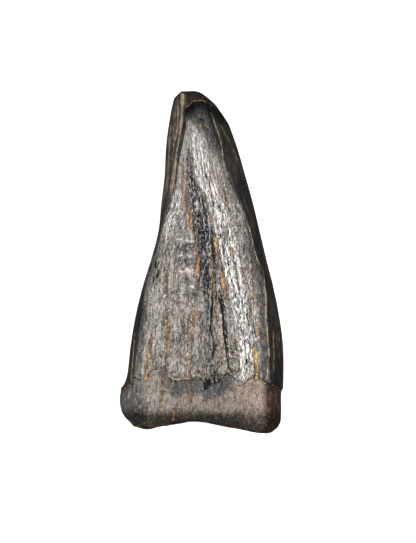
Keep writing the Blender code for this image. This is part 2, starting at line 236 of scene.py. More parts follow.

# Thin pale lines along the sides and the carinae, partly tan mineral and partly painted highlights along the
# carinae, as (half width, points from the tip end to the root end).
PALE_LINES = (
    (0.085, ((-0.97, 8.85), (-1.00, 8.37))),
    (0.050, ((-1.01, 8.27), (-1.02, 7.95), (-1.06, 7.47), (-1.09, 7.13))),
    (0.030, ((-1.09, 7.13), (-1.20, 6.47), (-1.27, 5.9))),
    (0.030, ((-1.63, 7.15), (-1.74, 6.36), (-1.70, 5.90), (-1.78, 4.66), (-1.86, 3.5))),
    (0.022, ((-1.15, 6.9), (-1.31, 5.82), (-1.47, 4.27), (-1.60, 3.5))),
    (0.018, ((-1.45, 7.9), (-1.50, 7.2), (-1.52, 6.4))),
    (0.045, ((-3.52, -3.8), (-3.60, -4.6), (-3.66, -5.4), (-3.72, -6.3), (-3.85, -7.2))),
    (0.034, ((-3.74, -4.6), (-3.80, -5.2), (-3.90, -5.8), (-3.98, -6.4))),
    (0.018, ((0.51, 7.77), (0.74, 7.07), (1.01, 6.37), (1.09, 5.63), (1.21, 4.85), (1.40, 4.43))),
    (0.016, ((1.01, 7.11), (1.29, 6.60), (1.67, 5.90), (1.99, 5.05), (2.35, 3.9))),
    (0.018, ((2.05, 3.0), (2.30, 2.30), (2.57, 1.50), (2.86, 0.30), (3.24, -0.63))),
    (0.026, ((3.24, -0.63), (3.38, -1.71), (3.38, -2.98), (3.48, -4.17), (3.55, -5.01))),
    (0.020, ((3.76, -3.67), (3.79, -4.87), (3.76, -5.81))),
    (0.020, ((3.50, -5.20), (3.46, -5.60), (3.43, -6.19))),
    (0.024, ((4.24, -4.45), (4.27, -5.06))),
    (0.014, ((4.02, -2.8), (4.08, -3.9), (4.10, -5.2))),
)

# Cracks that mineral has filled, as (half width, depth, warmth, glow, points). Warmth goes from 0, a pale
# yellow, to 1, an orange. Glow is how clean and bright the mineral is.
FILLED_CRACKS = (
    (0.035, 0.03, 0.6, 0.5, ((-0.89, 3.51), (-0.78, 3.04), (-0.68, 2.67), (-0.62, 2.45))),
    (0.07, 0.04, 0.9, 1.0, ((-0.62, 2.45), (-0.57, 2.30), (-0.55, 1.93), (-0.47, 1.70))),
    (0.035, 0.03, 0.8, 0.7, ((-0.47, 1.70), (-0.40, 1.50), (-0.25, 1.08), (-0.25, 0.66), (-0.24, 0.02))),
    (0.085, 0.05, 0.9, 1.0, ((-0.24, 0.02), (-0.21, -0.20), (-0.25, -0.50), (-0.23, -0.78))),
    (0.04, 0.03, 0.8, 0.7, (
        (-0.23, -0.82), (-0.28, -1.00), (-0.25, -1.25), (-0.23, -1.72), (-0.25, -2.03),
    )),
    (0.035, 0.02, 0.2, 0.8, ((0.10, 3.50), (0.26, 3.04), (0.35, 2.67), (0.52, 2.30), (0.56, 1.90))),
    (0.045, 0.03, 0.3, 0.8, ((0.56, 1.90), (0.60, 1.60), (0.69, 1.20))),
    (0.085, 0.05, 0.1, 1.0, ((0.69, 1.20), (0.70, 1.00), (0.72, 0.77))),
    (0.045, 0.04, 0.7, 0.6, ((0.72, 0.77), (0.80, 0.18), (0.86, -0.24))),
    (0.085, 0.05, 0.8, 0.85, ((0.88, -0.30), (1.03, -0.66), (1.09, -1.14), (1.20, -1.48))),
    (0.045, 0.03, 0.6, 0.6, ((1.20, -1.48), (1.26, -1.87), (1.35, -2.16))),
    (0.035, 0.02, 0.2, 0.25, (
        (0.32, 0.58), (0.43, 0.03), (0.54, -0.66), (0.66, -1.40), (0.66, -1.98), (0.84, -2.75),
    )),
    (0.035, 0.03, 0.7, 0.35, ((-0.42, -2.76), (-0.24, -2.70), (-0.10, -2.74))),
    (0.035, 0.03, 0.6, 0.25, ((-0.10, -2.74), (-0.20, -3.00), (-0.34, -3.22))),
    (0.05, 0.02, 0.5, 0.45, ((0.20, 7.16), (0.30, 7.02))),
    (0.04, 0.02, 0.4, 0.7, ((-3.18, -5.95), (-3.02, -6.10))),
    (0.03, 0.03, 0.6, 0.45, (
        (1.17, 1.90), (1.32, 1.08), (1.52, 0.58), (1.69, -0.22), (1.86, -0.85), (1.98, -1.40),
    )),
    (0.03, 0.02, 0.6, 0.4, ((1.20, 3.80), (1.26, 3.46), (1.35, 2.98), (1.46, 2.67))),
    (0.04, 0.02, 0.6, 0.5, (
        (2.63, -0.55), (2.69, -1.40), (2.75, -1.87), (2.81, -2.35), (2.86, -3.19), (2.93, -3.83),
    )),
    (0.09, 0.03, 0.4, 1.0, ((2.80, -4.61), (2.83, -4.86), (2.88, -5.25), (2.96, -5.62), (2.91, -6.15))),
    (0.045, 0.03, 0.9, 0.7, ((1.84, -4.14), (1.87, -4.46), (1.87, -4.86), (1.90, -5.25))),
    (0.05, 0.03, 0.6, 0.9, ((-2.62, -4.05), (-2.70, -4.41), (-2.77, -4.67), (-2.74, -4.95))),
    (0.07, 0.03, 0.55, 1.0, ((-2.76, -4.95), (-2.80, -5.36), (-2.86, -5.68), (-2.95, -6.15))),
    (0.06, 0.05, 0.6, 0.25, (
        (-1.89, -0.55), (-1.89, -1.19), (-1.86, -1.87), (-1.86, -2.56), (-1.87, -3.09),
    )),
    (0.09, 0.06, 0.7, 0.3, (
        (-1.87, -3.09), (-1.74, -3.41), (-1.74, -3.83), (-1.81, -4.46), (-1.91, -4.94),
    )),
    (0.06, 0.05, 0.5, 0.25, (
        (-1.91, -4.94), (-1.94, -5.36), (-1.97, -5.68), (-2.03, -6.52), (-2.10, -7.05), (-2.13, -7.63),
    )),
    (0.06, 0.04, 0.6, 0.3, (
        (-1.01, -3.33), (-0.95, -3.72), (-0.91, -4.22), (-1.01, -4.78), (-1.07, -5.31),
    )),
    (0.05, 0.04, 0.8, 0.7, ((-0.50, -2.40), (-0.43, -2.88), (-0.47, -3.20))),
    (0.075, 0.04, 0.7, 0.35, ((-0.47, -3.20), (-0.50, -3.41), (-0.53, -3.83), (-0.56, -4.46))),
    (0.055, 0.03, 0.6, 0.25, ((-0.56, -4.46), (-0.62, -5.12), (-0.69, -5.62), (-0.60, -6.10))),
    (0.06, 0.03, 0.9, 0.7, ((-1.39, -7.57), (-1.46, -8.05), (-1.49, -8.45))),
    (0.025, 0.02, 0.6, 0.3, ((-0.57, -6.89), (-0.59, -8.32))),
)

# Open cracks, dark inside, as (half width, depth, points).
OPEN_CRACKS = (
    (0.02, 0.06, ((0.66, 2.60), (0.80, 2.10), (0.88, 1.60), (0.90, 1.20), (0.92, 0.90))),
    (0.025, 0.07, ((0.92, 0.90), (0.98, 0.30), (1.10, -0.30), (1.20, -0.90))),
    (0.045, 0.09, ((0.92, -1.90), (1.04, -2.50), (1.13, -3.10), (1.16, -3.67), (1.24, -4.34))),
    (0.04, 0.07, ((1.24, -4.34), (1.30, -4.80), (1.34, -5.20), (1.40, -5.60), (1.62, -5.86))),
    (0.045, 0.07, ((0.57, -1.72), (0.50, -2.60), (0.48, -3.46), (0.58, -4.20), (0.60, -5.00))),
    (0.02, 0.05, ((1.06, -2.10), (1.18, -2.70), (1.26, -3.40), (1.32, -4.10))),
    (0.02, 0.05, ((0.40, -2.20), (0.34, -3.00), (0.38, -3.80), (0.30, -4.60))),
    (0.02, 0.05, ((1.50, -3.20), (1.58, -3.90), (1.62, -4.60))),
    (0.025, 0.05, ((0.60, -0.30), (0.72, -1.00), (0.80, -1.70), (0.80, -2.20))),
    (0.02, 0.05, ((-1.35, -3.90), (-1.30, -4.60), (-1.40, -5.40), (-1.36, -6.10))),
    (0.02, 0.04, ((0.40, 4.60), (0.62, 4.00), (0.80, 3.30), (1.00, 2.60))),
    (0.02, 0.04, ((2.00, -3.30), (2.30, -4.20), (2.35, -5.10), (2.20, -5.90))),
    (0.02, 0.04, ((0.10, 5.20), (0.30, 4.40), (0.48, 3.90), (0.62, 3.30), (0.70, 2.70))),
    (0.015, 0.04, ((-0.30, 5.90), (-0.05, 5.20), (0.12, 4.60), (0.22, 4.10))),
    (0.015, 0.03, ((1.36, 0.20), (1.50, -0.70), (1.72, -1.60), (1.95, -2.60), (2.02, -3.30))),
    (0.11, 0.10, ((0.21, -6.30), (0.20, -6.66))),
    (0.07, 0.08, ((0.40, -6.22), (0.37, -6.48))),
    (0.06, 0.07, ((0.66, -5.80), (0.68, -6.38))),
    (0.045, 0.06, ((0.81, -5.90), (0.84, -6.34))),
    (0.03, 0.05, ((0.98, -6.0), (1.00, -6.5))),
    (0.018, 0.04, ((1.05, 2.9), (1.18, 2.2), (1.30, 1.6), (1.36, 1.0))),
    (0.018, 0.04, ((0.86, 1.9), (1.02, 1.3), (1.14, 0.6), (1.28, 0.0), (1.40, -0.8))),
    (0.016, 0.04, ((1.62, 0.5), (1.78, -0.3), (1.95, -1.2), (2.16, -2.2), (2.30, -3.1))),
    (0.016, 0.04, ((1.72, -2.0), (1.88, -3.0), (2.02, -4.0), (2.06, -5.0), (2.0, -5.8))),
    (0.016, 0.04, ((2.36, -2.6), (2.50, -3.6), (2.58, -4.6), (2.52, -5.6))),
    (0.03, 0.04, ((-1.20, 6.30), (-1.05, 6.22))),
    (0.05, 0.05, ((-2.42, 0.0), (-2.40, -0.35))),
    (0.045, 0.05, ((-2.30, -0.55), (-2.36, -0.90))),
    (0.04, 0.05, ((-2.52, -0.75), (-2.56, -1.20))),
    (0.05, 0.04, ((-0.05, 7.47), (0.02, 7.40))),
    (0.03, 0.04, ((0.08, 7.10), (0.14, 7.02))),
    (0.028, 0.04, (
        (-0.92, 8.7), (-0.96, 7.9), (-0.99, 7.3), (-1.16, 6.3), (-1.24, 5.5), (-1.42, 4.2), (-1.63, 3.3),
    )),
    (0.022, 0.03, ((-1.63, 3.3), (-1.92, 2.4), (-2.22, 1.6), (-2.50, 0.8), (-2.70, 0.1))),
    (0.02, 0.03, ((3.42, -1.9), (3.48, -3.0), (3.55, -4.2), (3.62, -5.2))),
)


def copy_of_solid(node_name, new_name):
    """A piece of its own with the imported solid's mesh, merged and turned back into four-sided faces."""
    bpy.ops.object.select_all(action="DESELECT")
    node = frame["nodes"][node_name]
    node.select_set(True)
    bpy.context.view_layer.objects.active = node
    bpy.ops.object.duplicate()
    piece = bpy.context.view_layer.objects.active
    bpy.ops.object.parent_clear(type="CLEAR_KEEP_TRANSFORM")
    for key in list(piece.keys()):
        del piece[key]
    piece.name = piece.data.name = new_name
    bpy.ops.object.mode_set(mode="EDIT")
    bpy.ops.mesh.select_all(action="SELECT")
    bpy.ops.mesh.remove_doubles(threshold=MERGE_DISTANCE)
    bpy.ops.mesh.customdata_custom_splitnormals_clear()
    bpy.ops.mesh.tris_convert_to_quads(face_threshold=math.pi, shape_threshold=math.pi)
    bpy.ops.mesh.select_all(action="DESELECT")
    bpy.ops.mesh.select_mode(type="EDGE")
    bpy.ops.mesh.edges_select_sharp(sharpness=SHARP_EDGE)
    bpy.ops.transform.edge_crease(value=EDGE_CREASE)
    bpy.ops.mesh.select_all(action="DESELECT")
    bpy.ops.mesh.select_mode(type="VERT")
    bpy.ops.object.mode_set(mode="OBJECT")
    return piece


def make_finer(piece):
    modifier = piece.modifiers.new("finer", "SUBSURF")
    modifier.levels = modifier.render_levels = SUBDIVISIONS
    bpy.ops.object.modifier_apply(modifier=modifier.name)
    bpy.ops.object.shade_smooth()


def smooth(low, high, value):
    """0 below low, 1 above high, with a smooth rise between, for arrays."""
    share = np.clip((value - low) / (high - low), 0.0, 1.0)
    return share * share * (3.0 - 2.0 * share)


def noise_at(points, scale, seed, octaves=1):
    """Smooth noise from about -1 to 1 at each point, with its own scale along x, y and z."""
    shift = Vector((seed * 17.3, seed * 5.1, seed * 9.7))
    stretched = points * np.array(scale)
    values = [noise.fractal(Vector(p) + shift, 1.0, 2.0, octaves) for p in stretched]
    return np.array(values)


def from_step(x, y, start, end):
    """Distance of each point to one straight step of a line, and its share of the way along."""
    dx, dy = end[0] - start[0], end[1] - start[1]
    share = np.clip(((x - start[0]) * dx + (y - start[1]) * dy) / (dx * dx + dy * dy), 0.0, 1.0)
    return np.hypot(x - start[0] - share * dx, y - start[1] - share * dy), share


def distance_to_line(x, y, line):
    """Distance of each point to a line of straight steps, seen from above the flatter face."""
    best = np.full(len(x), FAR_AWAY)
    for start, end in zip(line, line[1:]):
        away, _ = from_step(x, y, start, end)
        best = np.minimum(best, away)
    return best


def reach_of(x, y, line):
    """How deep each point lies in a stripe of changing half width: 1 on its middle line and 0 outside."""
    best = np.full(len(x), FAR_AWAY)
    for start, end in zip(line, line[1:]):
        away, share = from_step(x, y, start, end)
        best = np.minimum(best, away / (start[2] + share * (end[2] - start[2])))
    return 1.0 - smooth(0.45, 1.5, best)


def line_at(line, y):
    """How far across a line down the tooth lies at each place y."""
    rows = sorted((p[1], p[0]) for p in line)
    return np.interp(y, [row[0] for row in rows], [row[1] for row in rows])


def enamel_line(x, z):
    """How far along the tooth the enamel's lower edge lies above each point."""
    across = [p[0] for p in ENAMEL_EDGE]
    along = [p[1] for p in ENAMEL_EDGE]
    labial = LABIAL_EDGE + LABIAL_EDGE_WAVE * np.cos(LABIAL_EDGE_WAVES * x)
    return labial + (np.interp(x, across, along) - labial) * smooth(3.4, 5.2, z)


def store(piece, name, values):
    attribute = piece.data.attributes.new(name, "FLOAT", "POINT")
    attribute.data.foreach_set("value", values.astype(np.float32))


def stripes(places, lines):
    """How deep each point lies in the nearest of several stripes: 1 on a middle line and 0 outside all."""
    return np.max([reach_of(*places, line) for line in lines], axis=0)


def read_points(mesh):
    """The places of the mesh's points in millimetres, and their normals."""
    co, normals = np.empty(len(mesh.vertices) * 3), np.empty(len(mesh.vertices) * 3)
    mesh.vertices.foreach_get("co", co)
    mesh.vertices.foreach_get("normal", normals)
    return co.reshape(-1, 3) / MM, normals.reshape(-1, 3)


def filled_cracks(x, y, seen):
    """The grooves of the filled cracks, and each point's distance to the nearest, its warmth and its glow."""
    groove, fill = np.zeros(len(x)), np.full(len(x), OUT_OF_REACH)
    warmth, glow = np.zeros(len(x)), np.zeros(len(x))
    for half_width, depth, warm, bright, line in FILLED_CRACKS:
        away = distance_to_line(x, y, line)
        edge = (away - half_width) + (1 - seen) * OUT_OF_REACH
        groove += depth * np.exp(-((away / (half_width * 1.3 + GROOVE_EDGE)) ** 2))
        nearer = edge < fill
        fill = np.where(nearer, edge, fill)
        warmth = np.where(nearer, warm, warmth)
        glow = np.where(nearer, bright, glow)
    return groove, fill, warmth, glow


def open_cracks(x, y):
    """The grooves of the open cracks, and each point's distance to the nearest."""
    groove, opened = np.zeros(len(x)), np.full(len(x), OUT_OF_REACH)
    for half_width, depth, line in OPEN_CRACKS:
        away = distance_to_line(x, y, line)
        groove += depth * np.exp(-((away / (half_width * 1.2 + GROOVE_EDGE)) ** 2))
        opened = np.minimum(opened, away - half_width)
    return groove, opened


def move_points(co, normals, relief):
    """Moves each point by its relief, wears the tip's corner and bulges the root's, all above the floor."""
    away = np.hypot(co[:, 0] - WORN_CORNER[0], co[:, 1] - WORN_CORNER[1])
    worn_off = WORN_CORNER_DEPTH * smooth(WORN_CORNER_REACH, 0.0, away)
    co += normals * relief[:, None] - worn_off[:, None] * np.array(WORN_CORNER_WAY)
    for (corner_x, corner_y), reach, bulge in ROOT_CORNERS:
        away = np.hypot(co[:, 0] - corner_x, co[:, 1] - corner_y)
        co[:, 1] -= bulge * smooth(reach, 0.0, away)
    low, high = (np.array(corner) / MM for corner in CAD_BOX)
    co[:, 2] = np.clip(co[:, 2], 0.0, high[2])
    co[:, :2] = np.clip(co[:, :2], low[:2] - BOX_MARGIN, high[:2] + BOX_MARGIN)


def carve_tooth(piece):
    """Moves the finer points for ledges, cracks and wrinkles, and stores where each kind of surface lies."""
    co, normals = read_points(piece.data)
    x, y, z = co.T
    facing = smooth(0.35, 0.75, normals[:, 2]) * smooth(4.8, 5.3, z)
    on_top = smooth(3.4, 4.4, z)
    above_edge = y - enamel_line(x, z) + noise_at(co, (2.8, 2.8, 2.8), 1, 4) * EDGE_JAG
    crown = smooth(-0.03, 0.03, above_edge)
    tip_end = smooth(0.35, 0.75, normals[:, 1]) * smooth(6.5, 7.5, y)

    left, right = line_at(LEFT_CARINA, y), line_at(RIGHT_CARINA, y)
    across = (x - (left + right) / 2) * (WIDE_FACE / np.maximum(right - left, NARROW_FACE)) ** NARROWING
    inside = np.minimum(x - left, right - x)
    flow = np.stack([across, y, z], axis=1)
    fine = noise_at(flow, (5.0, 0.7, 5.0), 2, 2)
    finer = noise_at(flow, (9.0, 1.5, 9.0), 3, 2)
    broad = noise_at(co, (0.9, 0.35, 0.9), 4, 2)
    pits = noise_at(co, (5.0, 3.5, 5.0), 5, 3)
    lumps = noise_at(co, (1.7, 1.7, 1.7), 7, 3)
    wander = noise_at(co, (3.5, 1.6, 3.5), 6, 2) * 0.05 + noise_at(co, (5.0, 5.0, 5.0), 8) * 0.03
    jumbled = x + 0.08 * pits, y + 0.08 * fine

    dark = np.maximum(reach_of(x, y, DARK_REFLECTION_BAND), reach_of(x, y, DARK_SPLIT) * 0.8)
    dark = np.maximum(dark, reach_of(x, y, DARK_START) * 0.55) * on_top
    wrinkled = smooth(8.2, 5.8, y) * (0.5 + 0.5 * facing)
    wrinkled *= (1 - 0.6 * dark) * (0.3 + 0.7 * smooth(0.1, 0.6, inside))
    relief = crown * (WRINKLES * fine + FINE_WRINKLES * finer) * wrinkled + SWELLS * broad
    relief += (1 - crown) * (ROOT_PITS * pits + ROOT_WRINKLES * fine)
    pale_growth, dark_growth = stripes(jumbled, GROWTH_LINES), stripes(jumbled, GROWTH_SHADES)
    relief += (GROWTH_RISE * pale_growth - GROWTH_DIP * dark_growth) * facing
    on_end = smooth(0.45, 0.85, -normals[:, 1]) * smooth(-6.5, -7.2, y)
    relief += on_end * smooth(4.9, 3.9, z) * (BREAK_LUMPS * lumps + BREAK_PITS * pits)
    on_wall = 1.0 - smooth(0.5, 0.85, -normals[:, 1])
    lip = np.exp(-((np.maximum(above_edge, 0) / LIP_REACH) ** 2)) * crown
    foot = np.exp(-((np.minimum(above_edge, 0) / FOOT_REACH) ** 2)) * (1 - crown)
    relief += (LIP_RISE * lip - FOOT_DIP * foot) * on_wall
    filled_groove, fill, warmth, glow = filled_cracks(x + wander, y, smooth(0.2, 0.6, normals[:, 2]))
    open_groove, opened = open_cracks(x + wander, y)
    relief -= (filled_groove + open_groove) * facing

    move_points(co, normals, relief)
    piece.data.vertices.foreach_set("co", (co * MM).ravel())
    piece.data.update()

    # From here on, x and y are the moved places.
    x, y = co[:, 0], co[:, 1]
    past_edge = y - np.interp(x, *zip(*WORN_EDGE))
    steep = np.sqrt(np.maximum(normals[:, 2], 0.1))
    bent_x = x + wander * 0.6
    pale_line = [distance_to_line(bent_x, y, line) / steep - half * 1.6 for half, line in PALE_LINES]
    pale_line = np.minimum(np.min(pale_line, axis=0), 1.0)
    store(piece, "above_edge", above_edge)
    store(piece, "across", across)
    store(piece, "inside", np.where(on_top > 0, inside, -1.0))
    store(piece, "fill", np.minimum(fill, 1.0))
    store(piece, "warmth", warmth)
    store(piece, "glow", glow)
    store(piece, "opened", np.minimum(opened, 1.0) + (1 - facing))
    store(piece, "worn", tip_end)
    near_worn_edge = (on_top > 0) & (x > LEFT_END_OF_WORN_EDGE)
    store(piece, "past_worn_edge", np.where(near_worn_edge, past_edge, FAR_BELOW_WORN_EDGE))
    store(piece, "broken", on_end)
    # Where the band and its foot are painted as dark reflection.
    store(piece, "dark_reflection_band", dark)
    store(piece, "dark_reflection_foot", reach_of(*jumbled, DARK_REFLECTION_FOOT) * on_top)
    store(piece, "highlight_stripe", reach_of(x, y, PAINTED_HIGHLIGHT_STRIPE) * on_top * (1 - 0.8 * dark))
    store(piece, "flank_sheen", reach_of(*jumbled, PAINTED_FLANK_SHEEN) * on_top * (1 - dark))
    store(piece, "pale_growth", pale_growth * facing)
    store(piece, "dark_growth", dark_growth * facing)
    store(piece, "pale_line", np.where(normals[:, 2] > 0.12, pale_line, 1.0))
    store(piece, "stain", stripes(jumbled, TAN_STAINS) * facing)
    store(piece, "chip", reach_of(*jumbled, GREY_CHIP) * facing)


class Wire:
    """One output of a node in a material, whose sums and products become Math nodes."""

    def __init__(self, finish, socket):
        self.finish, self.socket = finish, socket

    def math(self, operation, *others):
        values = dict(enumerate((self, *others)))
        return self.finish.add("ShaderNodeMath", {"operation": operation}, values)

    def __add__(self, other):
        return self.math("ADD", other)

    def __mul__(self, other):
        return self.math("MULTIPLY", other)

    def __sub__(self, other):
        return self.math("SUBTRACT", other)

    def __rsub__(self, other):
        return self.finish.add("ShaderNodeMath", {"operation": "SUBTRACT"}, {0: other, 1: self})

    __radd__, __rmul__ = __add__, __mul__

    def most(self, other):
        return self.math("MAXIMUM", other)

    def away_from(self, value):
        return (self - value).math("ABSOLUTE")

    def flipped(self):
        return 1 - self

    def ramp(self, low, high):
        """A smooth step from 0 at low to 1 at high, where low may be the larger of the two."""
        sockets = {"Value": self, "From Min": low, "From Max": high, "To Min": 0.0, "To Max": 1.0}
        return self.finish.add("ShaderNodeMapRange", {"interpolation_type": "SMOOTHSTEP"}, sockets, "Result")


class Finish:
    """A material that is being made."""

    def __init__(self, name):
        self.material = bpy.data.materials.new(name)
        self.material.use_nodes = True
        self.tree = self.material.node_tree
        self.tree.nodes.clear()

    def add(self, kind, settings, sockets, output=0):
        """A node with its settings made first, then the values or links of its sockets."""
        node = self.tree.nodes.new(kind)
        for name, value in settings.items():
            setattr(node, name, value)
        for name, value in sockets.items():
            if isinstance(value, Wire):
                self.tree.links.new(value.socket, node.inputs[name])
            else:
                node.inputs[name].default_value = value
        return Wire(self, node.outputs[output])

    def mix(self, first, second, share):
        """A colour between two colours."""
        sockets = {"Factor": share, 6: first, 7: second}
        return self.add("ShaderNodeMix", {"data_type": "RGBA"}, sockets, 2)

    def layered(self, colour, layers):
        """A colour with others laid over it in turn, each with its share."""
        for layer, share in layers:
            colour = self.mix(colour, layer, share)
        return colour

    def vector_math(self, operation, sockets):
        return self.add("ShaderNodeVectorMath", {"operation": operation}, sockets)

    def spots(self, place, scale, detail, roughness=0.5):
        """Noise from 0 to 1 on the place in millimetres, with its own scale along each axis."""
        stretched = self.vector_math("MULTIPLY", {0: place, 1: scale})
        sockets = {"Vector": stretched, "Scale": 1.0, "Detail": detail, "Roughness": roughness}
        return self.add("ShaderNodeTexNoise", {}, sockets, "Fac")

    def part_of(self, place, axis):
        """One number of a place: 0 across, 1 along or 2 up."""
        return self.add("ShaderNodeSeparateXYZ", {}, {0: place}, axis)

    def stored(self, name):
        return self.add("ShaderNodeAttribute", {"attribute_name": name}, {}, "Fac")

    def done(self, colour, roughness, normal, gloss):
        """The finished material: a dull surface and a shining one, mixed by how much each place shines."""
        sockets = {"Base Color": colour, "Roughness": roughness, "Normal": normal}
        dull = self.add("ShaderNodeBsdfPrincipled", {}, {**sockets, "Specular IOR Level": DULL_SHINE})
        shining = {**sockets, "Specular IOR Level": FULL_SHINE, "IOR": FULL_INDEX}
        shining = self.add("ShaderNodeBsdfPrincipled", {}, shining)
        self.add_output(self.add("ShaderNodeMixShader", {}, {0: gloss, 1: dull, 2: shining}))
        return self.material

    def add_output(self, shader):
        out = self.tree.nodes.new("ShaderNodeOutputMaterial")
        self.tree.links.new(shader.socket, out.inputs["Surface"])


def srgb(red, green, blue):
    """A colour from its usual 0 to 255 numbers."""
    linear = [(c / 255 / 12.92) if c < 10 else ((c / 255 + 0.055) / 1.055) ** 2.4 for c in (red, green, blue)]
    return (*linear, 1.0)


